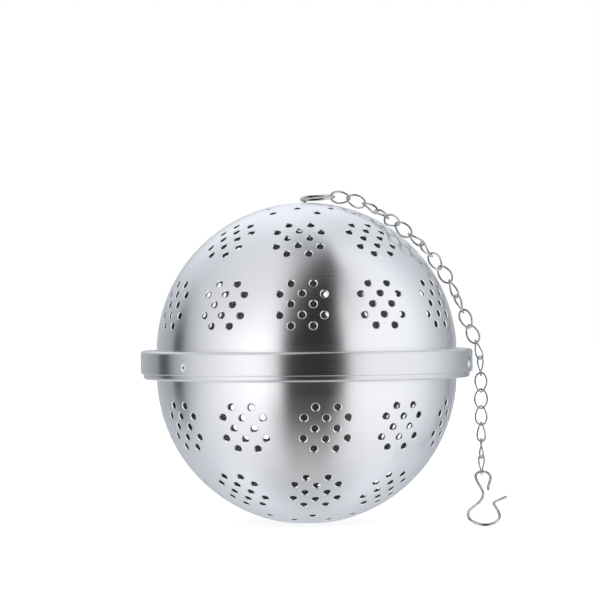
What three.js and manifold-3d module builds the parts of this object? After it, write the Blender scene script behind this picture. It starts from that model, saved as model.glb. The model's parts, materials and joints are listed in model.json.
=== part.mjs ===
// A ball tea infuser in stainless steel, in millimetres, +Z up, its origin at the centre of its flat foot.
// Two perforated half balls close with a three-point twist lock under a plain rim band. A wire bail turns
// in the pole of the upper half and carries a twisted-link chain that ends in a wire hook.
import * as THREE from "three";
import { mergeGeometries, mergeVertices } from "three/addons/utils/BufferGeometryUtils.js";
import Module from "manifold-3d";

// ---- Driving dimensions -------------------------------------------------------------------------

const SHEET = 0.5; // steel sheet of both half balls
const BALL_RADIUS = 42; // outside of each half ball
const CENTRE_SPACING = 5.92; // between the two half balls' centres
const FOOT_CUT = 0.6; // how far the foot is pressed flat

const BAND_RADIUS = 46.5; // outside of the upper half's rim band
const BAND_TOP = 3.9; // above the middle of the ball
const BAND_BOTTOM = -2.5;
const BAND_CORNER = 0.9;
const COLLAR_GAP = 0.25; // between the band and the collar it slides over
const COLLAR_TOP = 2.96;
const RIM_BOTTOM = -4.1; // underside of the lower half's rim
const RIM_CORNER = 0.8;

const LOCK_COUNT = 3;
const LOCK_ANGLE = -45.6; // of the first dimple, degrees round from the front
const LOCK_HEIGHT = -0.33;
const LOCK_TRAVEL = 20; // degrees from the entry notch to the locked end
const DIMPLE_RADIUS = 1.4;
const DIMPLE_SETBACK = 0.35; // of the dimple ball's centre inside the band's outer face
const SLOT_CLEARANCE = 0.35;

const HOLE_RADIUS = 1.0;
const HOLE_SPACING = 3.03; // one step of the cluster's grid
const HOLE_SIDES = 4;
const PUNCH_LENGTH = 4 * SHEET;
const CLUSTER_ROWS = [
  { count: 11, rise: 19.1, upperPhase: -1.7, lowerPhase: 7.2 }, // rise above the equator, degrees
  { count: 8, rise: 48.9, upperPhase: -4.0, lowerPhase: 4.6 },
];
const LOWER_POLE_TURN = -7; // of the lower half's pole rings against the upper ones, degrees
const POLE_RINGS = [
  { count: 8, radius: 16.2, phase: 11.5 },
  { count: 8, radius: 12.5, phase: -10.5 },
];
const PIVOT_HOLE_RADIUS = 1.5; // at the pole, for the bail's two legs

const BAIL_WIRE = 0.8;
const CHAIN_WIRE = 0.55;
const HOOK_WIRE = 0.8;
const LINK_COUNT = 22;
const LINK_PITCH = 4.6;
const LINK_GAP = 0.2; // air between the wires of two neighbouring links
const LINK_HALF_WIDTH = 1.75; // wire centre to wire centre, halved
const LINK_TWIST = 45; // degrees between a link's two ends
const LINK_TURN = -45; // degrees from one link to the next where the chain lies on the ball
const FREE_LINK_TURN = -27; // and where it hangs freely
const FREE_LINKS_START = 17; // the link that faces the front, with its turn at half its twist
const LINK_STEPS = 12; // round a link
const LINK_SIDES = 5; // of its wire's section
const HOOK_LEAN = 54.4; // degrees of the hook from upright, its foot towards the front

// ---- Derived places -----------------------------------------------------------------------------

const LOWER_CENTRE = BALL_RADIUS - FOOT_CUT;
const UPPER_CENTRE = LOWER_CENTRE + CENTRE_SPACING;
const MIDDLE = (LOWER_CENTRE + UPPER_CENTRE) / 2;
const INNER_RADIUS = BALL_RADIUS - SHEET;
const BAND_INSIDE = BAND_RADIUS - SHEET;
const COLLAR_RADIUS = BAND_INSIDE - COLLAR_GAP;
const COLLAR_INSIDE = COLLAR_RADIUS - SHEET;
const TOP = UPPER_CENTRE + BALL_RADIUS;
const LINK_OVERLAP = CHAIN_WIRE + LINK_GAP; // how far one link's wire centre reaches past the next one's
const LINK_HALF_LENGTH = (LINK_PITCH + LINK_OVERLAP) / 2;

const AROUND = 30; // segments round each half ball
const ARC_STEP = 15; // degrees of a profile's arc per segment
const CORNER_STEP = 30; // of a bent corner's outside
const INSIDE_CORNER_STEP = 45;
const LOCK_BALL_SEGMENTS = [10, 8];
const LOCK_SLOT_SEGMENTS = 6;
const CUT_MARGIN = 1; // how far a slot's cutter stands out of the collar
const WIRE_SIDES = 6; // of the bail's and the hook's section
const BAIL_STEPS = 48; // along the wire
const HOOK_STEPS = 44;
const ROUTE_SAMPLES = 6000; // along the chain
const MERGE_DISTANCE = 1e-4;

const wasm = await Module();
wasm.setup();

const radians = THREE.MathUtils.degToRad;
const UP = new THREE.Vector3(0, 0, 1);

// ---- Solids -------------------------------------------------------------------------------------

function solid(geometry) {
  const bare = geometry.index ? geometry.toNonIndexed() : geometry.clone();
  bare.deleteAttribute("normal");
  bare.deleteAttribute("uv");
  const merged = mergeVertices(bare, MERGE_DISTANCE);
  const triangles = [];
  const index = merged.index.array;
  for (let i = 0; i < index.length; i += 3) {
    const [a, b, c] = [index[i], index[i + 1], index[i + 2]];
    if (a !== b && b !== c && c !== a) triangles.push(a, b, c);
  }
  const mesh = new wasm.Mesh({
    numProp: 3,
    vertProperties: merged.attributes.position.array,
    triVerts: new Uint32Array(triangles),
  });
  return new wasm.Manifold(mesh);
}

function geometryOf(manifold) {
  const mesh = manifold.getMesh();
  const geometry = new THREE.BufferGeometry();
  geometry.setAttribute("position", new THREE.BufferAttribute(new Float32Array(mesh.vertProperties), 3));
  geometry.setIndex(new THREE.BufferAttribute(new Uint32Array(mesh.triVerts), 1));
  geometry.computeVertexNormals();
  return geometry;
}

// Points [radius, height] along a circular arc, from one angle above the horizontal to another, in degrees.
function arc(centreRadius, centreHeight, radius, from, to, step = ARC_STEP) {
  const count = Math.max(1, Math.round(Math.abs(to - from) / step));
  const points = [];
  for (let i = 0; i <= count; i++) {
    const angle = radians(from + ((to - from) * i) / count);
    points.push([centreRadius + radius * Math.cos(angle), centreHeight + radius * Math.sin(angle)]);
  }
  return points;
}

// A solid of revolution about Z from a closed profile of [radius, height] points, run anticlockwise.
function turned(profile, segments = AROUND) {
  const points = profile.map(([r, z]) => new THREE.Vector2(Math.max(0, r), z));
  points.push(points[0].clone());
  return solid(new THREE.LatheGeometry(points, segments).rotateX(Math.PI / 2));
}

// A piece of a ring about Z, between two radii, two angles from the front in degrees, and two heights.
function ringSegment(inner, outer, from, to, low, high) {
  const shape = new THREE.Shape();
  const start = radians(from - 90);
  const end = radians(to - 90);
  shape.absarc(0, 0, outer, start, end, false);
  shape.absarc(0, 0, inner, end, start, true);
  const options = { depth: high - low, bevelEnabled: false, curveSegments: LOCK_SLOT_SEGMENTS };
  return solid(new THREE.ExtrudeGeometry(shape, options).translate(0, 0, low));
}

// The point at a radius from the Z axis, an angle round from the front in degrees, and a height.
function around(radius, angle, height) {
  const a = radians(angle);
  return new THREE.Vector3(radius * Math.sin(a), -radius * Math.cos(a), height);
}

// ---- Perforations -------------------------------------------------------------------------------

// One cluster's holes on a square grid turned by 45 degrees: rows of two, three, two, three and two.
const CLUSTER = [-2, -1, 0, 1, 2].flatMap((row) =>
  (row % 2 === 0 ? [-1, 1] : [-2, 0, 2]).map((column) => [column * HOLE_SPACING, row * HOLE_SPACING]),
);

// A punch through the sheet at the point of a unit sphere in the given direction.
function punch(direction) {
  const geometry = new THREE.CylinderGeometry(HOLE_RADIUS, HOLE_RADIUS, PUNCH_LENGTH, HOLE_SIDES);
  const turn = new THREE.Quaternion().setFromUnitVectors(new THREE.Vector3(0, 1, 0), direction);
  const place = direction.clone().multiplyScalar(BALL_RADIUS - SHEET / 2);
  return geometry.applyQuaternion(turn).translate(place.x, place.y, place.z);
}

// Directions of every hole in the upper half ball, for one half's cluster phases.
function holeDirections(phaseName, poleTurn) {
  const directions = [];
  for (const row of CLUSTER_ROWS) {
    for (let i = 0; i < row.count; i++) {
      const azimuth = row[phaseName] + (360 * i) / row.count;
      const normal = around(Math.cos(radians(row.rise)), azimuth, Math.sin(radians(row.rise)));
      const east = new THREE.Vector3().crossVectors(UP, normal).normalize();
      const north = new THREE.Vector3().crossVectors(normal, east);
      for (const [across, along] of CLUSTER) {
        const direction = normal.clone();
        direction.addScaledVector(east, across / BALL_RADIUS).addScaledVector(north, along / BALL_RADIUS);
        directions.push(direction.normalize());
      }
    }
  }
  for (const ring of POLE_RINGS) {
    const height = Math.sqrt(BALL_RADIUS ** 2 - ring.radius ** 2);
    for (let i = 0; i < ring.count; i++) {
      const angle = ring.phase + poleTurn + (360 * i) / ring.count;
      directions.push(around(ring.radius, angle, height).normalize());
    }
  }
  return directions;
}

function punches(phaseName, poleTurn, centreHeight, side) {
  const all = holeDirections(phaseName, poleTurn).map((direction) => {
    const placed = direction.clone();
    placed.z *= side;
    return punch(placed);
  });
  return solid(mergeGeometries(all).translate(0, 0, centreHeight));
}

// ---- The two half balls -------------------------------------------------------------------------

function lowerBowl() {
  const footAngle = THREE.MathUtils.radToDeg(Math.asin(-LOWER_CENTRE / BALL_RADIUS));
  const innerFoot = THREE.MathUtils.radToDeg(Math.asin(-(LOWER_CENTRE - SHEET) / INNER_RADIUS));
  const rim = MIDDLE + RIM_BOTTOM;
  const rimAngle = THREE.MathUtils.radToDeg(Math.asin((rim - LOWER_CENTRE) / BALL_RADIUS));
  const floorAngle = THREE.MathUtils.radToDeg(Math.asin((rim + SHEET - LOWER_CENTRE) / INNER_RADIUS));
  const corner = COLLAR_RADIUS - RIM_CORNER;
  const shell = turned([
    [0, 0],
    ...arc(0, LOWER_CENTRE, BALL_RADIUS, footAngle, rimAngle),
    ...arc(corner, rim + RIM_CORNER, RIM_CORNER, -90, 0, CORNER_STEP),
    [COLLAR_RADIUS, MIDDLE + COLLAR_TOP],
    [COLLAR_INSIDE, MIDDLE + COLLAR_TOP],
    ...arc(corner, rim + RIM_CORNER, RIM_CORNER - SHEET, 0, -90, INSIDE_CORNER_STEP),
    ...arc(0, LOWER_CENTRE, INNER_RADIUS, floorAngle, innerFoot),
    [0, SHEET],
  ]);
  return shell.subtract(punches("lowerPhase", LOWER_POLE_TURN, LOWER_CENTRE, -1)).subtract(lockSlots());
}

function upperDome() {
  const top = MIDDLE + BAND_TOP;
  const pole = (radius) => THREE.MathUtils.radToDeg(Math.acos(PIVOT_HOLE_RADIUS / radius));
  const outerAngle = THREE.MathUtils.radToDeg(Math.asin((top - UPPER_CENTRE) / BALL_RADIUS));
  const innerAngle = THREE.MathUtils.radToDeg(Math.asin((top - SHEET - UPPER_CENTRE) / INNER_RADIUS));
  const corner = BAND_RADIUS - BAND_CORNER;
  const shell = turned([
    ...arc(0, UPPER_CENTRE, INNER_RADIUS, pole(INNER_RADIUS), innerAngle),
    ...arc(corner, top - BAND_CORNER, BAND_CORNER - SHEET, 90, 0, INSIDE_CORNER_STEP),
    [BAND_INSIDE, MIDDLE + BAND_BOTTOM],
    [BAND_RADIUS, MIDDLE + BAND_BOTTOM],
    ...arc(corner, top - BAND_CORNER, BAND_CORNER, 0, 90, CORNER_STEP),
    ...arc(0, UPPER_CENTRE, BALL_RADIUS, outerAngle, pole(BALL_RADIUS)),
  ]);
  return shell.add(lockBumps()).subtract(lockDents()).subtract(punches("upperPhase", 0, UPPER_CENTRE, 1));
}

// ---- The twist lock -----------------------------------------------------------------------------

const lockAngles = Array.from({ length: LOCK_COUNT }, (_, i) => LOCK_ANGLE + (360 * i) / LOCK_COUNT);

function lockBalls(radius) {
  const balls = lockAngles.map((angle) => {
    const place = around(BAND_RADIUS - DIMPLE_SETBACK, angle, MIDDLE + LOCK_HEIGHT);
    return new THREE.SphereGeometry(radius, ...LOCK_BALL_SEGMENTS).translate(place.x, place.y, place.z);
  });
  return solid(mergeGeometries(balls));
}

// The dimples' inner faces, which stand into the collar's slots.
function lockBumps() {
  const inside = turned([
    [0, 0],
    [BAND_RADIUS - SHEET / 2, 0],
    [BAND_RADIUS - SHEET / 2, TOP],
    [0, TOP],
  ]);
  return lockBalls(DIMPLE_RADIUS).intersect(inside);
}

function lockDents() {
  return lockBalls(DIMPLE_RADIUS - SHEET);
}

// The collar's L-shaped slots: an entry notch from the top edge, then a level leg that holds the dimple down.
function lockSlots() {
  const reach = DIMPLE_RADIUS + SLOT_CLEARANCE;
  const half = THREE.MathUtils.radToDeg(reach / COLLAR_RADIUS);
  const low = MIDDLE + LOCK_HEIGHT - reach;
  const high = MIDDLE + LOCK_HEIGHT + reach;
  const inner = COLLAR_INSIDE - CUT_MARGIN;
  const outer = COLLAR_RADIUS + CUT_MARGIN;
  const cuts = lockAngles.flatMap((angle) => [
    ringSegment(inner, outer, angle - half, angle + half, low, TOP),
    ringSegment(inner, outer, angle - half - LOCK_TRAVEL, angle + half, low, high),
  ]);
  return cuts.reduce((sum, cut) => sum.add(cut));
}

// ---- Wires --------------------------------------------------------------------------------------

// An open wire with flat ends along a smooth curve through the points.
function wire(points, diameter, steps) {
  const path = new THREE.CatmullRomCurve3(points, false, "centripetal");
  const section = new THREE.Shape();
  for (let i = 0; i < WIRE_SIDES; i++) {
    const angle = (2 * Math.PI * i) / WIRE_SIDES;
    const [x, y] = [(diameter / 2) * Math.cos(angle), (diameter / 2) * Math.sin(angle)];
    if (i === 0) section.moveTo(x, y);
    else section.lineTo(x, y);
  }
  section.closePath();
  return new THREE.ExtrudeGeometry(section, { steps, extrudePath: path, bevelEnabled: false });
}

// The bail: two splayed ends inside the pole, legs up through its hole, and a loop towards the chain.
const BAIL_ROUTE = [
  [0.2, -2.9, -1.75],
  [0.1, -1.6, -1.5],
  [0, -0.6, -1.1],
  [0, -0.52, -0.2],
  [-0.15, -0.62, 0.5],
  [-1.0, -1.7, 0.72],
  [0.6, -2.95, 0.72],
  [4.4, -2.9, 0.9],
  [7.1, -1.75, 1.3],
  [8.0, 0, 1.6],
  [7.1, 1.75, 1.9],
  [4.4, 2.9, 1.95],
  [0.6, 2.95, 1.7],
  [-1.0, 1.7, 1.2],
  [-0.15, 0.62, 0.6],
  [0, 0.52, -0.2],
  [0, 0.6, -1.1],
  [0.1, 1.6, -1.5],
  [0.2, 2.9, -1.75],
];

// The hook in its own plane: across and down from the top of its eye, starting at the eye's cut end.
const HOOK_OUTLINE = [
  [1.4, -8.1],
  [1.55, -6.4],
  [2.1, -4.3],
  [2.35, -2.4],
  [1.75, -0.75],
  [0, 0],
  [-1.4, -0.85],
  [-1.75, -2.4],
  [-1.3, -4.9],
  [-0.45, -7.6],
  [-0.1, -9.9],
  [-0.9, -12.6],
  [-3.1, -15.4],
  [-4.5, -17.4],
  [-4.5, -20.2],
  [-2.9, -22.2],
  [-0.2, -23.15],
  [2.4, -22.2],
  [3.8, -20.1],
  [3.75, -17.9],
  [2.9, -15.2],
  [2.6, -14.1],
  [3.0, -13.3],
  [4.6, -12.2],
  [6.4, -11.1],
];

// ---- The chain ----------------------------------------------------------------------------------

// One link: a ring of wire drawn out to an oval along X, then twisted about X from one end to the other.
function chainLink() {
  const ring = new THREE.TorusGeometry(1, CHAIN_WIRE / 2, LINK_SIDES, LINK_STEPS);
  const vertex = new THREE.Vector3();
  const xAxis = new THREE.Vector3(1, 0, 0);
  const positions = ring.attributes.position;
  for (let i = 0; i < positions.count; i++) {
    vertex.fromBufferAttribute(positions, i);
    const angle = Math.atan2(vertex.y, vertex.x);
    const outward = Math.hypot(vertex.x, vertex.y) - 1;
    const [cosine, sine] = [Math.cos(angle), Math.sin(angle)];
    const normal = new THREE.Vector2(LINK_HALF_WIDTH * cosine, LINK_HALF_LENGTH * sine).normalize();
    vertex.x = LINK_HALF_LENGTH * cosine + outward * normal.x;
    vertex.y = LINK_HALF_WIDTH * sine + outward * normal.y;
    vertex.applyAxisAngle(xAxis, (radians(LINK_TWIST / 2) * vertex.x) / LINK_HALF_LENGTH);
    positions.setXYZ(i, vertex.x, vertex.y, vertex.z);
  }
  return ring;
}

// The chain's route from the bail: over the dome's shoulder, past the band's edge and straight down.
const CHAIN_ROUTE = [
  [7.5, 0, 90.95],
  [10.6, 0.1, 90.9],
  [14.6, 0.2, 89.6],
  [18.9, -1.4, 87.5],
  [22.6, -5.6, 84.9],
  [25.9, -9.0, 82.3],
  [29.6, -9.6, 79.4],
  [33.2, -7.2, 76.2],
  [36.4, -4.6, 72.2],
  [39.6, -4.0, 67.8],
  [42.0, -4.2, 62.6],
  [44.2, -4.5, 57.2],
  [46.3, -4.6, 52.2],
  [48.1, -4.6, 47.6],
  [48.5, -4.6, 42.6],
  [48.5, -4.6, 30.0],
  [48.5, -4.6, 8.0],
].map((p) => new THREE.Vector3(...p));

// The points where neighbouring links touch, one pitch apart in a straight line, along the route.
function chainJunctions() {
  const curve = new THREE.CatmullRomCurve3(CHAIN_ROUTE, false, "centripetal");
  const samples = curve.getSpacedPoints(ROUTE_SAMPLES);
  const junctions = [samples[0]];
  for (const point of samples) {
    const full = junctions.length > LINK_COUNT;
    if (!full && point.distanceTo(junctions.at(-1)) >= LINK_PITCH) junctions.push(point);
  }
  return junctions;
}

// How far each link is turned about the chain from facing the front, in degrees.
function linkTurn(number) {
  const step = number <= FREE_LINKS_START ? LINK_TURN : FREE_LINK_TURN;
  return LINK_TWIST / 2 + step * (number - FREE_LINKS_START);
}

// A frame at the middle of a link: X along the chain, and Y across the link, in the front view at turn 0.
function linkMatrix(from, to, turn) {
  const along = to.clone().sub(from).normalize();
  const depth = new THREE.Vector3(0, 1, 0).addScaledVector(along, -along.y).normalize();
  const across = new THREE.Vector3().crossVectors(depth, along);
  const basis = new THREE.Matrix4().makeBasis(along, across, depth.clone().negate());
  const middle = from.clone().add(to).multiplyScalar(0.5);
  return basis.setPosition(middle).multiply(new THREE.Matrix4().makeRotationX(radians(turn)));
}

// ---- Assembly -----------------------------------------------------------------------------------

const brushedSteel = new THREE.MeshStandardMaterial({ color: 0xc9cbcd, roughness: 0.32, metalness: 1 });
const brightWire = new THREE.MeshStandardMaterial({ color: 0xd2d3d5, roughness: 0.18, metalness: 1 });

const infuser = new THREE.Group();

function place(name, geometry, material) {
  const mesh = new THREE.Mesh(geometry, material);
  mesh.name = name;
  infuser.add(mesh);
  return mesh;
}

place("lower_bowl", geometryOf(lowerBowl()), brushedSteel);
place("upper_dome", geometryOf(upperDome()), brushedSteel);

const bailPoints = BAIL_ROUTE.map(([x, y, z]) => new THREE.Vector3(x, y, z));
place("hanging_bail", wire(bailPoints, BAIL_WIRE, BAIL_STEPS), brightWire).position.z = TOP;

const junctions = chainJunctions();
for (let i = 1; i <= LINK_COUNT; i++) {
  const link = place(`chain_link_${String(i).padStart(2, "0")}`, chainLink(), brightWire);
  link.applyMatrix4(linkMatrix(junctions[i - 1], junctions[i], linkTurn(i)));
}

const hookPoints = HOOK_OUTLINE.map(([across, down]) => new THREE.Vector3(across, 0, down));
const hook = place("cup_hook", wire(hookPoints, HOOK_WIRE, HOOK_STEPS), brightWire);
hook.position.copy(junctions[LINK_COUNT]).add(new THREE.Vector3(0, 0, (HOOK_WIRE + LINK_GAP) / 2));
hook.rotation.x = radians(-HOOK_LEAN);

export default infuser;
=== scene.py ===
import json
from math import acos, asin, cos, degrees, pi, radians, sin, sqrt

import bmesh
import bpy
import numpy as np
from mathutils import Matrix, Vector


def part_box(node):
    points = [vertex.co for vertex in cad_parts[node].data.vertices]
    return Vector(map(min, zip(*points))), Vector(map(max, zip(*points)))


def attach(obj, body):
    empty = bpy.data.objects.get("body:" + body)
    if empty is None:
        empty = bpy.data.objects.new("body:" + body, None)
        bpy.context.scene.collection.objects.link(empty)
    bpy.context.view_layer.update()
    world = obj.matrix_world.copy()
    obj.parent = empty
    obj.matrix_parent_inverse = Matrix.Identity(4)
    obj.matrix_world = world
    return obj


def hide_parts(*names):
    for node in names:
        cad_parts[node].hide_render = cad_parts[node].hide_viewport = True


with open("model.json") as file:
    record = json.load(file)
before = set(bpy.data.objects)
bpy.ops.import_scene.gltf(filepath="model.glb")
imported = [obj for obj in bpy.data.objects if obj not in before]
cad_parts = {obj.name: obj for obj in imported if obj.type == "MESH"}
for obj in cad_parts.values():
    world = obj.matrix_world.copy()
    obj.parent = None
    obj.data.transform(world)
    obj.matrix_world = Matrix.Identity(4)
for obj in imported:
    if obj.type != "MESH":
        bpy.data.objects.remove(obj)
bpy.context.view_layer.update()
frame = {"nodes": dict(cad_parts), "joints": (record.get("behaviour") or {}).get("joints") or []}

# A ball tea infuser. Lengths are millimetres in the frame of the part, and become metres in the meshes.

METRES = 0.001

# ---- Sizes of the half balls, from the CAD part --------------------------------------------------

SHEET = 0.5
BALL_RADIUS = 42.0
CENTRE_SPACING = 5.92
FOOT_CUT = 0.6
BAND_TOP = 3.9
BAND_BOTTOM = -2.5
BAND_CORNER = 0.9
COLLAR_GAP = 0.25
RIM_BOTTOM = -4.1
RIM_CORNER = 0.8

BAND_RADIUS = -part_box("upper_dome")[0].y / METRES
COLLAR_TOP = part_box("lower_bowl")[1].z / METRES
LOWER_CENTRE = BALL_RADIUS - FOOT_CUT
UPPER_CENTRE = LOWER_CENTRE + CENTRE_SPACING
MIDDLE = (LOWER_CENTRE + UPPER_CENTRE) / 2
INNER_RADIUS = BALL_RADIUS - SHEET
BAND_INSIDE = BAND_RADIUS - SHEET
COLLAR_RADIUS = BAND_INSIDE - COLLAR_GAP
COLLAR_INSIDE = COLLAR_RADIUS - SHEET
TOP = UPPER_CENTRE + BALL_RADIUS

LOCK_ANGLES = [-45.6 + 120 * i for i in range(3)]
LOCK_HEIGHT = -0.33
LOCK_TRAVEL = 20
DIMPLE_RADIUS = 1.25
DIMPLE_DEPTH = 0.78
BUMP_OVERLAP = 0.03  # of a bump's rim with the band's sheet, so that they join
SLOT_REACH = 1.75

HOLE_RADIUS = 0.97
LIP_WIDTH = 0.32  # of the slope that the punch leaves round a hole
LIP_DEPTH = 0.2
HOLE_SPACING = 3.03
CLUSTER_ROWS = [(11, 19.1, -1.7, 7.2), (8, 48.9, -4.0, 4.6)]  # count, rise, upper and lower phase
POLE_RINGS = [(8, 16.2, 11.5), (8, 12.5, -10.5)]  # count, radius, phase
LOWER_POLE_TURN = -7
PIVOT_HOLE_RADIUS = 1.5

AROUND = 264  # segments of a half ball
ARC_STEP = 1.5  # degrees along the spheres
CORNER_STEP = 9  # degrees round the rims' outer corners
INNER_CORNER_STEP = 18
EDGE_STEP = 30  # degrees round the sheet's edges
PUNCH_SEGMENTS = 28
DIMPLE_SEGMENTS = 40

# ---- Sizes of the wires --------------------------------------------------------------------------

BAIL_WIRE = 0.8
CHAIN_WIRE = 0.55
HOOK_WIRE = 0.8
LINK_GAP = 0.2
LINK_HALF_WIDTH = 1.75
LINK_TWIST = 45
LINK_TURN = -45  # from each link to the next, as far as the free links
FREE_LINK_TURN = -27  # from each link to the next, where the chain hangs free
FREE_LINKS_START = 17
HOOK_LEAN = 54.4

BAIL_ROUTE = [
    (0.2, -2.9, -1.75),
    (0.1, -1.6, -1.5),
    (0, -0.6, -1.1),
    (0, -0.52, -0.2),
    (-0.15, -0.62, 0.5),
    (-1.0, -1.7, 0.72),
    (0.6, -2.95, 0.72),
    (4.4, -2.9, 0.9),
    (7.1, -1.75, 1.3),
    (8.0, 0, 1.6),
    (7.1, 1.75, 1.9),
    (4.4, 2.9, 1.95),
    (0.6, 2.95, 1.7),
    (-1.0, 1.7, 1.2),
    (-0.15, 0.62, 0.6),
    (0, 0.52, -0.2),
    (0, 0.6, -1.1),
    (0.1, 1.6, -1.5),
    (0.2, 2.9, -1.75),
]

HOOK_OUTLINE = [
    (1.4, -8.1),
    (1.55, -6.4),
    (2.1, -4.3),
    (2.35, -2.4),
    (1.75, -0.75),
    (0, 0),
    (-1.4, -0.85),
    (-1.75, -2.4),
    (-1.3, -4.9),
    (-0.45, -7.6),
    (-0.1, -9.9),
    (-0.9, -12.6),
    (-3.1, -15.4),
    (-4.5, -17.4),
    (-4.5, -20.2),
    (-2.9, -22.2),
    (-0.2, -23.15),
    (2.4, -22.2),
    (3.8, -20.1),
    (3.75, -17.9),
    (2.9, -15.2),
    (2.6, -14.1),
    (3.0, -13.3),
    (4.6, -12.2),
    (6.4, -11.1),
]


# ---- Mesh helpers --------------------------------------------------------------------------------


def make_object(name, vertices, faces):
    """A mesh object from millimetre points."""
    mesh = bpy.data.meshes.new(name)
    mesh.from_pydata([Vector(v) * METRES for v in vertices], [], faces)
    mesh.update()
    made = bpy.data.objects.new(name, mesh)
    bpy.context.scene.collection.objects.link(made)
    return made


def face_outwards(made):
    work = bmesh.new()
    work.from_mesh(made.data)
    bmesh.ops.recalc_face_normals(work, faces=work.faces)
    if work.calc_volume(signed=True) < 0:
        bmesh.ops.reverse_faces(work, faces=work.faces)
    work.to_mesh(made.data)
    work.free()


def smooth(made, angle=35):
    made.data.shade_smooth()
    made.data.set_sharp_from_angle(angle=radians(angle))


def arc(centre_radius, centre_height, radius, start, end, step=ARC_STEP):
    """[radius, height] points along a circular arc between two angles above the horizontal."""
    count = max(2, round(abs(end - start) / step))
    points = []
    for i in range(count + 1):
        angle = radians(start + (end - start) * i / count)
        points.append((centre_radius + radius * cos(angle), centre_height + radius * sin(angle)))
    return points


def around(radius, angle, height):
    """The point at a radius from Z, an angle round from the front and a height."""
    return Vector((radius * sin(radians(angle)), -radius * cos(radians(angle)), height))


def lathe_mesh(profile, segments):
    """Vertices and faces of a closed profile of (radius, height) turned about Z."""
    vertices, rings, faces = [], [], []
    for radius, height in profile:
        if radius < 1e-6:
            rings.append([len(vertices)] * segments)
            vertices.append((0, 0, height))
        else:
            rings.append(list(range(len(vertices), len(vertices) + segments)))
            vertices += [around(radius, 360 * k / segments, height) for k in range(segments)]
    for ring, following in zip(rings, rings[1:] + rings[:1]):
        for k in range(segments):
            corners = [ring[k], ring[k - 1], following[k - 1], following[k]]
            corners = list(dict.fromkeys(corners))
            if len(corners) > 2:
                faces.append(corners)
    return vertices, faces


def lathe(name, profile, segments=AROUND):
    made = make_object(name, *lathe_mesh(profile, segments))
    face_outwards(made)
    return made


def copies(name, profile, segments, places):
    """One mesh that holds a small turned tool at each (point, direction)."""
    vertices, faces = lathe_mesh(profile, segments)
    all_vertices, all_faces = [], []
    for point, direction in places:
        turn = Vector((0, 0, 1)).rotation_difference(direction)
        first = len(all_vertices)
        all_vertices += [turn @ Vector(v) + point for v in vertices]
        all_faces += [[first + i for i in face] for face in faces]
    made = make_object(name, all_vertices, all_faces)
    face_outwards(made)
    return made


def combine(target, tool, operation):
    """Cuts target by tool, or joins tool to it, and removes the tool."""
    modifier = target.modifiers.new(operation.lower(), "BOOLEAN")
    modifier.operation = operation
    modifier.solver = "MANIFOLD"
    modifier.object = tool
    bpy.context.view_layer.update()
    evaluated = target.evaluated_get(bpy.context.evaluated_depsgraph_get())
    mesh = bpy.data.meshes.new_from_object(evaluated)
    target.modifiers.clear()
    target.data = mesh
    bpy.data.objects.remove(tool)
    return target


# ---- Perforations --------------------------------------------------------------------------------


CLUSTER = [
    (column * HOLE_SPACING, row * HOLE_SPACING)
    for row in (-2, -1, 0, 1, 2)
    for column in ((-1, 1) if row % 2 == 0 else (-2, 0, 2))
]


def hole_directions(lower):
    """Unit directions of every perforation, as if each half ball were the upper one."""
    directions = []
    for count, rise, upper_phase, lower_phase in CLUSTER_ROWS:
        phase = lower_phase if lower else upper_phase
        for i in range(count):
            normal = around(cos(radians(rise)), phase + 360 * i / count, sin(radians(rise)))
            east = Vector((0, 0, 1)).cross(normal).normalized()
            north = normal.cross(east)
            for across, along in CLUSTER:
                directions.append((normal + (east * across + north * along) / BALL_RADIUS).normalized())
    for count, radius, phase in POLE_RINGS:
        height = sqrt(BALL_RADIUS**2 - radius**2)
        turn = LOWER_POLE_TURN if lower else 0
        for i in range(count):
            directions.append(around(radius, phase + turn + 360 * i / count, height).normalized())
    return directions


def punch_profile():
    """A punch, deep end first, that leaves a sloping lip with a rounded inner edge."""
    inner_edge = [(HOLE_RADIUS + 0.02, 0.88), (HOLE_RADIUS + 0.06, 0.74), (HOLE_RADIUS + 0.12, 0.6)]
    lip = [(radius, -LIP_DEPTH * share) for radius, share in inner_edge]
    outer_edge = HOLE_RADIUS + LIP_WIDTH
    return [
        (0, -1.2),
        (HOLE_RADIUS, -1.2),
        (HOLE_RADIUS, -LIP_DEPTH),
        *lip,
        (outer_edge - 0.1, -LIP_DEPTH * 0.14),
        (outer_edge, 0.02),
        (outer_edge + 0.25, 0.35),
        (0, 0.35),
    ]


def perforate(shell, centre, lower):
    places = []
    for direction in hole_directions(lower):
        placed = Vector((direction.x, direction.y, -direction.z)) if lower else direction
        places.append((Vector((0, 0, centre)) + placed * BALL_RADIUS, placed))
    punches = copies("punches", punch_profile(), PUNCH_SEGMENTS, places)
    combine(shell, punches, "DIFFERENCE")


LIP, CUT_PAINTED_SHADE, UNPOLISHED, RIM = 1, 2, 3, 4  # material indices of a half ball, after its brushed outside; the holes' cut walls take rough cut steel whose colour is darkened as painted shade
LEAST_LIP_FACING = 0.3  # how far a lip's faces turn outwards, where a hole's cut wall doesn't
LEAST_DIMPLE_FACING = 0.1
SQUARELY_FACING = 0.9
SURFACE_TOLERANCE = 0.012  # of a point that counts as on a surface


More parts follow.
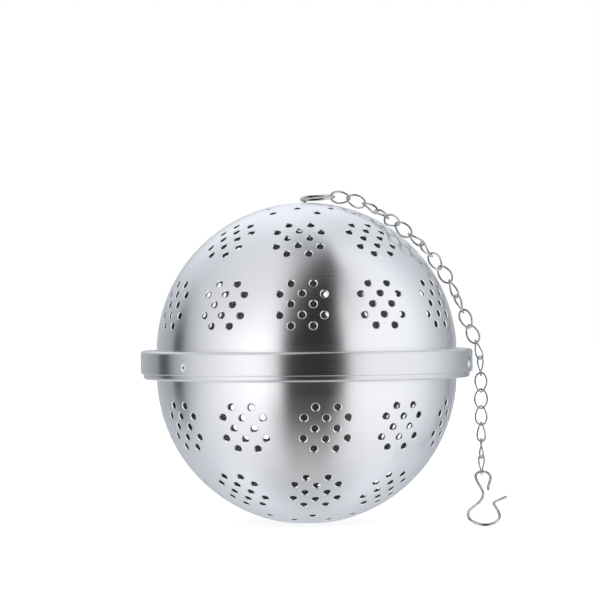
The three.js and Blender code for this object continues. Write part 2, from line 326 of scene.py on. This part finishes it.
def finish_half_ball(shell, centre):
    """Gives each face its finish, the holes' cut walls a steel darkened as painted shade, and the spheres'
    and the band's faces the normals of those shapes.
    """
    mesh = shell.data
    mesh.materials.clear()  # the cuts leave an empty slot
    smooth(shell)
    points = np.zeros(len(mesh.vertices) * 3)
    mesh.vertices.foreach_get("co", points)
    points = points.reshape(-1, 3) / METRES - np.array([0, 0, centre])
    distance = np.linalg.norm(points, axis=1)
    outward = points / distance[:, None]
    width = np.hypot(points[:, 0], points[:, 1])
    sideways = points * [1, 1, 0] / np.maximum(width, 1e-6)[:, None]
    tolerance = SURFACE_TOLERANCE
    on_outside = np.abs(distance - BALL_RADIUS) < tolerance
    on_inside = np.abs(distance - INNER_RADIUS) < tolerance
    in_sheet = (distance > INNER_RADIUS - tolerance) & (distance < BALL_RADIUS + tolerance)
    on_foot = np.abs(points[:, 2] + centre) < tolerance
    on_band = np.abs(width - BAND_RADIUS) < tolerance
    above_locks = points[:, 2] + centre - MIDDLE - LOCK_HEIGHT
    by_locks = (np.abs(above_locks) < DIMPLE_RADIUS) & (width > BAND_INSIDE)
    normals = np.zeros((len(mesh.loops), 3))
    for polygon in mesh.polygons:
        corners = list(polygon.vertices)
        loops = list(polygon.loop_indices)
        facing = np.array(polygon.normal) @ outward[corners[0]]
        if on_outside[corners].all() and facing > SQUARELY_FACING:
            normals[loops] = outward[corners]
        elif on_inside[corners].all() and facing < -SQUARELY_FACING:
            normals[loops] = -outward[corners]
        elif in_sheet[corners].all() and not on_foot[corners].all():
            # a hole's cut wall takes the steel whose colour is darkened as painted shade inside the hole
            polygon.material_index = LIP if facing > LEAST_LIP_FACING else CUT_PAINTED_SHADE
        elif on_band[corners].all() and facing > SQUARELY_FACING:
            normals[loops] = sideways[corners]
            polygon.material_index = RIM
        elif width[corners].max() > BALL_RADIUS + SHEET:
            pressed = by_locks[corners].all() and facing > LEAST_DIMPLE_FACING
            polygon.material_index = LIP if pressed else RIM
        if facing < -SQUARELY_FACING:
            polygon.material_index = UNPOLISHED
    mesh.normals_split_custom_set(normals.tolist())


# ---- The two half balls --------------------------------------------------------------------------


def elevation(height, centre, radius):
    return degrees(asin((height - centre) / radius))


def lower_bowl():
    rim = MIDDLE + RIM_BOTTOM
    corner = COLLAR_RADIUS - RIM_CORNER
    foot = elevation(0, LOWER_CENTRE, BALL_RADIUS)
    inner_foot = elevation(SHEET, LOWER_CENTRE, INNER_RADIUS)
    edge = COLLAR_RADIUS - SHEET / 2
    profile = [
        (0, 0),
        *[(sqrt(BALL_RADIUS**2 - LOWER_CENTRE**2) * t, 0) for t in (0.4, 0.8)],
        *arc(0, LOWER_CENTRE, BALL_RADIUS, foot, elevation(rim, LOWER_CENTRE, BALL_RADIUS)),
        *arc(corner, rim + RIM_CORNER, RIM_CORNER, -90, 0, CORNER_STEP),
        *arc(edge, COLLAR_TOP - SHEET / 2, SHEET / 2, 0, 180, EDGE_STEP),
        *arc(corner, rim + RIM_CORNER, RIM_CORNER - SHEET, 0, -90, INNER_CORNER_STEP),
        *arc(0, LOWER_CENTRE, INNER_RADIUS, elevation(rim + SHEET, LOWER_CENTRE, INNER_RADIUS), inner_foot),
        (0, SHEET),
    ]
    bowl = lathe("tea_bowl", profile)
    for angle in LOCK_ANGLES:
        cut_lock_slot(bowl, angle)
    perforate(bowl, LOWER_CENTRE, lower=True)
    finish_half_ball(bowl, LOWER_CENTRE)
    return bowl


def upper_dome():
    top = MIDDLE + BAND_TOP
    corner = BAND_RADIUS - BAND_CORNER
    pole = degrees(acos(PIVOT_HOLE_RADIUS / BALL_RADIUS))
    inner_pole = degrees(acos(PIVOT_HOLE_RADIUS / INNER_RADIUS))
    edge = BAND_RADIUS - SHEET / 2
    profile = [
        *arc(0, UPPER_CENTRE, INNER_RADIUS, inner_pole, elevation(top - SHEET, UPPER_CENTRE, INNER_RADIUS)),
        *arc(corner, top - BAND_CORNER, BAND_CORNER - SHEET, 90, 0, INNER_CORNER_STEP),
        *arc(edge, MIDDLE + BAND_BOTTOM + SHEET / 2, SHEET / 2, 180, 360, EDGE_STEP),
        *arc(corner, top - BAND_CORNER, BAND_CORNER, 0, 90, CORNER_STEP),
        *arc(0, UPPER_CENTRE, BALL_RADIUS, elevation(top, UPPER_CENTRE, BALL_RADIUS), pole),
    ]
    dome = lathe("tea_dome", profile)
    press_dimples(dome)
    perforate(dome, UPPER_CENTRE, lower=False)
    finish_half_ball(dome, UPPER_CENTRE)
    return dome


def ring_sector(name, inner, outer, start, end, low, high, count=24):
    """A block of a ring about Z."""
    vertices, faces = [], []
    for i in range(count + 1):
        angle = start + (end - start) * i / count
        for radius, height in ((inner, low), (outer, low), (outer, high), (inner, high)):
            vertices.append(around(radius, angle, height))
    for i in range(count):
        for k in range(4):
            a, b = 4 * i + k, 4 * i + (k + 1) % 4
            faces.append([a, b, b + 4, a + 4])
    faces += [[3, 2, 1, 0], [4 * count + k for k in range(4)]]
    made = make_object(name, vertices, faces)
    face_outwards(made)
    return made


def cut_lock_slot(bowl, angle):
    """An entry notch from the collar's top edge and a level leg that holds the dimple down."""
    half = degrees(SLOT_REACH / COLLAR_RADIUS)
    low, high = MIDDLE + LOCK_HEIGHT - SLOT_REACH, MIDDLE + LOCK_HEIGHT + SLOT_REACH
    inner, outer = COLLAR_INSIDE - 1, COLLAR_RADIUS + 1
    notch = ring_sector("notch", inner, outer, angle - half, angle + half, low, TOP)
    combine(bowl, notch, "DIFFERENCE")
    leg = ring_sector("leg", inner, outer, angle - half - LOCK_TRAVEL, angle + half, low, high)
    combine(bowl, leg, "DIFFERENCE")


def press_dimples(dome):
    """Round dents in the band, with the same shape standing out of its inner face."""
    steps = 14
    room = 0.3  # round the cutter
    wider = 0.15  # of the bump than of the dent
    sunk = SHEET * 0.4  # of the bump's foot into the band

    def dent(depth_scale, reach):
        shape = []
        for i in range(steps + 1):
            radius = reach * i / steps
            shape.append((radius, -depth_scale * (1 + cos(pi * i / steps)) / 2))
        return shape

    outside = dent(DIMPLE_DEPTH, DIMPLE_RADIUS)
    cutter = [*outside, (DIMPLE_RADIUS + room, 0.06), (DIMPLE_RADIUS + room, 1), (0, 1)]
    inside = dent(DIMPLE_DEPTH, DIMPLE_RADIUS + wider)
    bump = [*inside, (DIMPLE_RADIUS + wider, sunk), (0, sunk)]
    outer_places, inner_places = [], []
    for angle in LOCK_ANGLES:
        direction = around(1, angle, 0)
        height = Vector((0, 0, MIDDLE + LOCK_HEIGHT))
        outer_places.append((direction * BAND_RADIUS + height, direction))
        inner_places.append((direction * (BAND_INSIDE + BUMP_OVERLAP) + height, direction))
    combine(dome, copies("bumps", bump, DIMPLE_SEGMENTS, inner_places), "UNION")
    combine(dome, copies("dents", cutter, DIMPLE_SEGMENTS, outer_places), "DIFFERENCE")


# ---- Wires ---------------------------------------------------------------------------------------


def between(start, end, first, last, at):
    """The mix of two points that stand at two values of a curve's parameter."""
    share = (at - first) / (last - first)
    return start * (1 - share) + end * share


def centripetal(points, samples=16):
    """Points along the centripetal Catmull-Rom curve through the given ones."""
    points = [Vector(p) for p in points]
    padded = [points[0] * 2 - points[1], *points, points[-1] * 2 - points[-2]]
    curve = []
    for p0, p1, p2, p3 in zip(padded, padded[1:], padded[2:], padded[3:]):
        t0, t1 = 0, sqrt((p1 - p0).length)
        t2 = t1 + sqrt((p2 - p1).length)
        t3 = t2 + sqrt((p3 - p2).length)
        for k in range(samples):
            t = t1 + (t2 - t1) * k / samples
            a1, a2, a3 = between(p0, p1, t0, t1, t), between(p1, p2, t1, t2, t), between(p2, p3, t2, t3, t)
            curve.append(between(between(a1, a2, t0, t2, t), between(a2, a3, t1, t3, t), t1, t2, t))
    return [*curve, points[-1]]


def wire(name, curve, diameter, sides=18, end_round=0.14):
    """A round wire along a curve, with its cut ends slightly rounded."""
    radius = diameter / 2
    tangents = []
    for i in range(len(curve)):
        ahead, behind = curve[min(i + 1, len(curve) - 1)], curve[max(i - 1, 0)]
        tangents.append((ahead - behind).normalized())
    normal = tangents[0].orthogonal().normalized()
    rings = []
    for i, (point, tangent) in enumerate(zip(curve, tangents)):
        if i:
            normal = tangents[i - 1].rotation_difference(tangent) @ normal
        side = tangent.cross(normal)
        rings.append((point, normal.copy(), side, tangent))
    first, last = rings[0], rings[-1]
    stations = [(*ring, radius, 0.0) for ring in rings[1:-1]]
    trims = [(radius - end_round, 0.0), (radius - 0.3 * end_round, 0.3 * end_round), (radius, end_round)]
    start = [(*first, size, inset) for size, inset in trims]
    end = [(*last, size, -inset) for size, inset in reversed(trims)]
    vertices, faces = [], []
    for point, across, side, tangent, size, inset in [*start, *stations, *end]:
        for k in range(sides):
            angle = 2 * pi * k / sides
            vertices.append(point + tangent * inset + (across * cos(angle) + side * sin(angle)) * size)
    count = len(vertices) // sides
    for i in range(count - 1):
        for k in range(sides):
            a, b = i * sides + k, i * sides + (k + 1) % sides
            faces.append([a, b, b + sides, a + sides])
    faces += [list(range(sides))[::-1], list(range((count - 1) * sides, count * sides))]
    made = make_object(name, vertices, faces)
    face_outwards(made)
    smooth(made, angle=50)
    return made


def joint_place(name):
    place = next(j["pos_m"] for j in frame["joints"] if j["name"] == name)
    return Vector(place) / METRES


def hanging_bail():
    pole = joint_place("bail_swivel")
    route = [pole + Vector(p) for p in BAIL_ROUTE]
    return wire("bail", centripetal(route), BAIL_WIRE)


def cup_hook():
    eye = joint_place("hook_swing")
    lean = Matrix.Rotation(radians(-HOOK_LEAN), 3, "X")
    route = [eye + lean @ Vector((across, 0, down)) for across, down in HOOK_OUTLINE]
    return wire("hook", centripetal(route), HOOK_WIRE)


# ---- The chain -----------------------------------------------------------------------------------


def link_shape(half_length, steps=64, sides=16):
    """A ring of wire drawn out to an oval along X, then twisted about X from one end to the other."""
    vertices, faces = [], []
    for i in range(steps):
        angle = 2 * pi * i / steps
        centre = Vector((half_length * cos(angle), LINK_HALF_WIDTH * sin(angle), 0))
        outward = Vector((LINK_HALF_WIDTH * cos(angle), half_length * sin(angle), 0)).normalized()
        for k in range(sides):
            section = 2 * pi * k / sides
            point = centre + (outward * cos(section) + Vector((0, 0, sin(section)))) * CHAIN_WIRE / 2
            twist = radians(LINK_TWIST / 2) * point.x / half_length
            vertices.append(Matrix.Rotation(twist, 3, "X") @ point)
    for i in range(steps):
        for k in range(sides):
            a, b = i * sides + k, i * sides + (k + 1) % sides
            c, d = (i + 1) % steps * sides + (k + 1) % sides, (i + 1) % steps * sides + k
            faces.append([a, b, c, d])
    return vertices, faces


def link_turn(number):
    """Degrees that the middle of a link is turned by about the chain's line."""
    step = LINK_TURN if number <= FREE_LINKS_START else FREE_LINK_TURN
    return LINK_TWIST / 2 + step * (number - FREE_LINKS_START)


def chain_link(number, start, end):
    along = (end - start).normalized()
    depth = (Vector((0, 1, 0)) - along * along.y).normalized()
    across = depth.cross(along)
    basis = Matrix((along, across, -depth)).transposed()
    turn = basis @ Matrix.Rotation(radians(link_turn(number)), 3, "X")
    half_length = ((end - start).length + CHAIN_WIRE + LINK_GAP) / 2
    vertices, faces = link_shape(half_length)
    middle = (start + end) / 2
    made = make_object(f"link_{number:02d}", [middle + turn @ v for v in vertices], faces)
    face_outwards(made)
    smooth(made, angle=60)
    return made


# ---- Materials -----------------------------------------------------------------------------------


class Nodes:
    """A short way to write a node tree."""

    def __init__(self, tree):
        self.tree = tree

    def add(self, kind, inputs=None, **settings):
        node = self.tree.nodes.new(kind)
        for name, value in settings.items():
            setattr(node, name, value)
        for name, value in (inputs or {}).items():
            if isinstance(value, bpy.types.NodeSocket):
                self.tree.links.new(value, node.inputs[name])
            else:
                node.inputs[name].default_value = value
        return node

    def math(self, operation, first, second=0.0):
        return self.add("ShaderNodeMath", {0: first, 1: second}, operation=operation).outputs[0]

    def ramp(self, factor, stops, interpolation="LINEAR"):
        node = self.add("ShaderNodeValToRGB", {"Fac": factor})
        node.color_ramp.interpolation = interpolation
        elements = node.color_ramp.elements
        while len(elements) < len(stops):
            elements.new(0.5)
        for element, (position, colour) in zip(elements, stops):
            element.position = position
            element.color = colour if len(colour) == 4 else (*colour, 1)
        return node.outputs["Color"]


def grey(value):
    return (value, value, value)


def noise(nodes, vector, scale, detail):
    settings = {"Vector": vector, "Scale": scale, "Detail": detail}
    return nodes.add("ShaderNodeTexNoise", settings).outputs["Fac"]


def brushed_sheet(name, centre, dull, bright):
    """Stainless sheet with a fine satin brushing that runs round the ball."""
    material = bpy.data.materials.new(name)
    material.use_nodes = True
    nodes = Nodes(material.node_tree)
    shader = material.node_tree.nodes["Principled BSDF"]
    place = nodes.add("ShaderNodeTexCoord").outputs["Object"]
    split = nodes.add("ShaderNodeSeparateXYZ", {0: place})
    height = nodes.math("SUBTRACT", split.outputs["Z"], centre * METRES)
    radius_squared = nodes.math(
        "ADD", nodes.math("POWER", split.outputs["X"], 2.0), nodes.math("POWER", split.outputs["Y"], 2.0)
    )
    radius = nodes.math("SQRT", radius_squared)
    rise = nodes.math("ARCTAN2", height, radius)
    arc_height = nodes.math("MULTIPLY", rise, BALL_RADIUS * METRES)

    def streaks(along, across, detail):
        vector = nodes.add(
            "ShaderNodeCombineXYZ",
            {
                0: nodes.math("MULTIPLY", split.outputs["X"], along),
                1: nodes.math("MULTIPLY", split.outputs["Y"], along),
                2: nodes.math("MULTIPLY", arc_height, across),
            },
        ).outputs[0]
        settings = {"Vector": vector, "Scale": 1.0, "Detail": detail, "Roughness": 0.6}
        return nodes.add("ShaderNodeTexNoise", settings).outputs["Fac"]

    fine = streaks(50, 15000, 3.0)
    broad = streaks(16, 2500, 2.0)
    patches = noise(nodes, place, 60.0, 2.0)
    wear = nodes.math("ADD", nodes.math("MULTIPLY", fine, 0.6), nodes.math("MULTIPLY", broad, 0.4))
    marks = nodes.math("ADD", nodes.math("MULTIPLY", wear, 0.7), nodes.math("MULTIPLY", patches, 0.3))
    colour = nodes.ramp(wear, [(0.3, grey(dull)), (0.7, grey(bright))])
    roughness = nodes.add(
        "ShaderNodeMapRange",
        {"Value": marks, "From Min": 0.3, "From Max": 0.7, "To Min": 0.2, "To Max": 0.29},
    ).outputs[0]
    bump = nodes.add("ShaderNodeBump", {"Strength": 0.08, "Distance": 0.00002, "Height": fine}).outputs[0]
    tangent = nodes.add("ShaderNodeTangent", direction_type="RADIAL", axis="Z").outputs[0]
    looks = {"Base Color": colour, "Roughness": roughness, "Normal": bump, "Tangent": tangent}
    for socket, value in looks.items():
        material.node_tree.links.new(value, shader.inputs[socket])
    shader.inputs["Metallic"].default_value = 1.0
    shader.inputs["Anisotropic"].default_value = 0.88
    shader.inputs["Anisotropic Rotation"].default_value = 0.25  # spreads the light across the brush marks
    return material


def plain_steel(name, dull, bright, smoothest, roughest):
    """Stainless steel without brushing: faint marks, and small patches between two brightnesses."""
    material = bpy.data.materials.new(name)
    material.use_nodes = True
    nodes = Nodes(material.node_tree)
    shader = material.node_tree.nodes["Principled BSDF"]
    place = nodes.add("ShaderNodeTexCoord").outputs["Object"]
    marks = noise(nodes, place, 2500.0, 3.0)
    patches = noise(nodes, place, 500.0, 2.0)
    colour = nodes.ramp(patches, [(0.35, grey(dull)), (0.65, grey(bright))])
    roughness = nodes.add(
        "ShaderNodeMapRange",
        {"Value": marks, "From Min": 0.3, "From Max": 0.7, "To Min": smoothest, "To Max": roughest},
    ).outputs[0]
    bump = nodes.add("ShaderNodeBump", {"Strength": 0.1, "Distance": 0.00001, "Height": marks}).outputs[0]
    for socket, value in (("Base Color", colour), ("Roughness", roughness), ("Normal", bump)):
        material.node_tree.links.new(value, shader.inputs[socket])
    shader.inputs["Metallic"].default_value = 1.0
    return material


# ---- Assembly ------------------------------------------------------------------------------------


def finish_piece(piece, body, node, slot, *materials):
    for material in materials:
        piece.data.materials.append(material)
    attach(piece, body)
    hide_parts(node)


wire_steel = plain_steel("drawn_wire", dull=0.38, bright=0.66, smoothest=0.08, roughest=0.16)
lip_steel = plain_steel("punched_lip", dull=0.85, bright=0.95, smoothest=0.26, roughest=0.34)
# The holes' cut walls: rough cut steel, with its colour made darker as painted shade in the holes.
cut_steel_painted_shade = plain_steel("punched_wall_painted_shade", dull=0.25, bright=0.35, smoothest=0.3, roughest=0.4)
inside_steel = plain_steel("unpolished_inside", dull=0.62, bright=0.7, smoothest=0.3, roughest=0.42)
rim_steel = brushed_sheet("brushed_rim", MIDDLE, dull=0.73, bright=0.78)
half_ball_steels = (lip_steel, cut_steel_painted_shade, inside_steel, rim_steel)
brushed_bowl = brushed_sheet("brushed_bowl", LOWER_CENTRE, dull=0.83, bright=0.88)
brushed_dome = brushed_sheet("brushed_dome", UPPER_CENTRE, dull=0.83, bright=0.88)
finish_piece(lower_bowl(), "bowl", "lower_bowl", "shell_steel", brushed_bowl, *half_ball_steels)
finish_piece(upper_dome(), "cap", "upper_dome", "shell_steel", brushed_dome, *half_ball_steels)
finish_piece(hanging_bail(), "bail", "hanging_bail", "wire_steel", wire_steel)
finish_piece(cup_hook(), "hook", "cup_hook", "wire_steel", wire_steel)

link_count = sum(name.startswith("chain_link") for name in frame["nodes"])
meetings = [joint_place(f"link_{i:02d}_swing") for i in range(1, link_count + 1)]
meetings.append(joint_place("hook_swing") - Vector((0, 0, (HOOK_WIRE + LINK_GAP) / 2)))
for number in range(1, link_count + 1):
    body = f"chain_link_{number:02d}"
    link = chain_link(number, meetings[number - 1], meetings[number])
    finish_piece(link, body, body, "wire_steel", wire_steel)

# ---- Studio --------------------------------------------------------------------------------------


# The tent's brightness all round, by degrees from the camera's side, positive towards +X. The rings go
# from high up to low down. The dark gap in front is the camera's opening, which leans to the right.
TENT_HIGH = [
    (-180, 0.92), (-165, 1.08), (-140, 0.98), (-118, 0.82), (-90, 0.80), (-60, 0.84), (-45, 0.78),
    (-36, 0.60), (-26, 0.32), (-14, 0.09), (-2, 0.04), (14, 0.04), (25, 0.06), (32, 0.20),
    (40, 0.56), (52, 0.88), (90, 1.02), (118, 0.92), (140, 0.84), (160, 0.72), (172, 0.78),
    (180, 0.92),
]
TENT_ABOVE = [
    (-180, 1.20), (-160, 1.15), (-140, 0.84), (-118, 0.70), (-90, 0.74), (-60, 0.86), (-36, 1.00),
    (-26, 0.95), (-19, 0.22), (-11, 0.05), (0, 0.02), (17, 0.03), (22, 0.18), (28, 0.80),
    (56, 1.00), (90, 1.08), (118, 0.82), (140, 0.66), (160, 0.85), (180, 1.20),
]
TENT_LEVEL = [
    (-180, 0.55), (-147, 0.48), (-126, 0.36), (-120, 0.05), (-112, 0.05), (-106, 0.34), (-96, 0.56),
    (-88, 0.74), (-72, 0.98), (-58, 1.18), (-44, 1.34), (-36, 1.36), (-27, 1.24), (-21, 0.94),
    (-16, 0.16), (-11, 0.03), (0, 0.02), (17, 0.02), (22, 0.04), (26, 0.15), (30, 0.74), (35, 1.00),
    (43, 1.12), (66, 1.12), (84, 1.06), (97, 0.94), (107, 0.80), (117, 0.66), (130, 0.50),
    (147, 0.40), (180, 0.55),
]
TENT_BELOW = [
    (-180, 0.72), (-158, 0.70), (-140, 0.72), (-118, 0.76), (-90, 0.84), (-60, 1.02), (-36, 1.00),
    (-22, 0.44), (-14, 0.11), (0, 0.09), (18, 0.08), (28, 0.50), (40, 0.98), (64, 1.04),
    (100, 0.90), (124, 0.76), (140, 0.70), (158, 0.68), (180, 0.72),
]
TENT_LOW = [
    (-180, 0.80), (-150, 0.88), (-126, 1.00), (-100, 0.92), (-60, 0.86), (-34, 0.74), (-20, 0.46),
    (0, 0.45), (20, 0.48), (34, 0.74), (60, 0.86), (100, 0.90), (126, 0.94), (150, 0.84),
    (180, 0.80),
]
TENT_TOP = 0.36
TENT_BOTTOM = 0.60
TENT_LEAN = 0.20  # of the gap to the right, straight overhead
COOL = (0.95, 1.0, 1.08)  # of the sides and the back
PALE = (0.99, 1.0, 1.03)  # of the front
WARM = (1.05, 0.99, 0.98)  # of the dark gap


def studio_world():
    """A white tent with a dark gap, which shows in the brushed steel as upright stripes."""
    world = bpy.data.worlds.new("studio_tent")
    bpy.context.scene.world = world
    world.use_nodes = True
    tree = world.node_tree
    tree.nodes.clear()
    nodes = Nodes(tree)
    split = nodes.add("ShaderNodeSeparateXYZ", {0: nodes.add("ShaderNodeTexCoord").outputs["Generated"]})
    bend = nodes.math("POWER", nodes.math("MAXIMUM", split.outputs["Z"], 0.0), 2.0)
    lean = nodes.math("MULTIPLY", bend, TENT_LEAN)
    across = nodes.math("SUBTRACT", split.outputs["X"], lean)
    angle = nodes.math("ARCTAN2", across, nodes.math("MULTIPLY", split.outputs["Y"], -1.0))
    turn = nodes.math("ADD", nodes.math("DIVIDE", angle, 2 * pi), 0.5)

    def ring(stops):
        return nodes.ramp(turn, [((a + 180) / 360, grey(v)) for a, v in stops])

    def blend_by_height(first, second, start, end):
        between_heights = {"Value": split.outputs["Z"], "From Min": start, "From Max": end}
        factor = nodes.add("ShaderNodeMapRange", between_heights).outputs[0]
        mixed = nodes.add("ShaderNodeMix", {"Factor": factor, 6: first}, data_type="RGBA")
        if isinstance(second, bpy.types.NodeSocket):
            nodes.tree.links.new(second, mixed.inputs[7])
        else:
            mixed.inputs[7].default_value = (*grey(second), 1)
        return mixed.outputs[2]

    tent = blend_by_height(ring(TENT_LEVEL), ring(TENT_ABOVE), 0.12, 0.5)
    tent = blend_by_height(tent, ring(TENT_HIGH), 0.6, 0.85)
    tent = blend_by_height(tent, TENT_TOP, 0.96, 1.0)
    tent = blend_by_height(tent, ring(TENT_BELOW), -0.12, -0.5)
    tent = blend_by_height(tent, ring(TENT_LOW), -0.6, -0.8)
    tent = blend_by_height(tent, TENT_BOTTOM, -0.86, -0.98)
    facing = nodes.math("ABSOLUTE", nodes.math("DIVIDE", angle, pi))
    tint = nodes.ramp(facing, [(0.06, WARM), (0.1, PALE), (0.4, PALE), (0.7, COOL)])
    both = {"Factor": 1.0, 6: tent, 7: tint}
    tinted = nodes.add("ShaderNodeMix", both, data_type="RGBA", blend_type="MULTIPLY")
    lit = nodes.add("ShaderNodeBackground", {"Color": tinted.outputs[2], "Strength": 1.0})
    seen = nodes.add("ShaderNodeBackground", {"Color": (1, 1, 1, 1), "Strength": 1.0})
    camera_ray = nodes.add("ShaderNodeLightPath").outputs["Is Camera Ray"]
    mix = nodes.add("ShaderNodeMixShader", {0: camera_ray, 1: lit.outputs[0], 2: seen.outputs[0]})
    nodes.add("ShaderNodeOutputWorld", {"Surface": mix.outputs[0]})


FLOOR_REACH = 3000


def floor():
    corners = [(x * FLOOR_REACH, y * FLOOR_REACH, 0) for x, y in ((-1, -1), (1, -1), (1, 1), (-1, 1))]
    made = make_object("floor", corners, [[0, 1, 2, 3]])
    material = bpy.data.materials.new("pale_floor")
    material.use_nodes = True
    shader = material.node_tree.nodes["Principled BSDF"]
    nodes = Nodes(material.node_tree)
    speckle = nodes.add("ShaderNodeTexNoise", {"Scale": 40.0, "Detail": 2.0}).outputs["Fac"]
    colour = nodes.ramp(speckle, [(0.3, grey(0.49)), (0.7, grey(0.51))])
    material.node_tree.links.new(colour, shader.inputs["Base Color"])
    shader.inputs["Roughness"].default_value = 0.9
    shader.inputs["Specular IOR Level"].default_value = 0.1
    shader.inputs["Emission Color"].default_value = (1, 1, 1, 1)
    shader.inputs["Emission Strength"].default_value = 0.72
    made.data.materials.append(material)
    made.visible_glossy = False  # so that the ball's lower half mirrors the tent and not the floor


def floor_light():
    """Soft light from all over the ceiling, for the floor and its contact shadows only."""
    data = bpy.data.lights.new("ceiling", "SUN")
    data.energy = 1.6
    data.angle = radians(100)
    light = bpy.data.objects.new("ceiling", data)
    light.visible_glossy = False
    bpy.context.scene.collection.objects.link(light)


CAMERA_DISTANCE = 833
CAMERA_ABOVE_MIDDLE = 18.3
CAMERA_LEFT = 1.71
CAMERA_ROLL = 0.48
PIXELS_PER_MM = 3.567
FRAME_PIXELS = 600
HORIZON_ABOVE_CENTRE = 2.1


def camera():
    data = bpy.data.cameras.new("camera")
    data.sensor_width = 36
    data.lens = PIXELS_PER_MM * CAMERA_DISTANCE / FRAME_PIXELS * data.sensor_width
    data.shift_y = -HORIZON_ABOVE_CENTRE / FRAME_PIXELS
    data.clip_start = 0.05
    made = bpy.data.objects.new("camera", data)
    made.location = Vector((-CAMERA_LEFT, -CAMERA_DISTANCE, MIDDLE + CAMERA_ABOVE_MIDDLE)) * METRES
    made.rotation_euler = (radians(90), radians(CAMERA_ROLL), 0)
    bpy.context.scene.collection.objects.link(made)
    bpy.context.scene.camera = made


studio_world()
floor()
floor_light()
camera()
bpy.context.scene.view_settings.view_transform = "Standard"
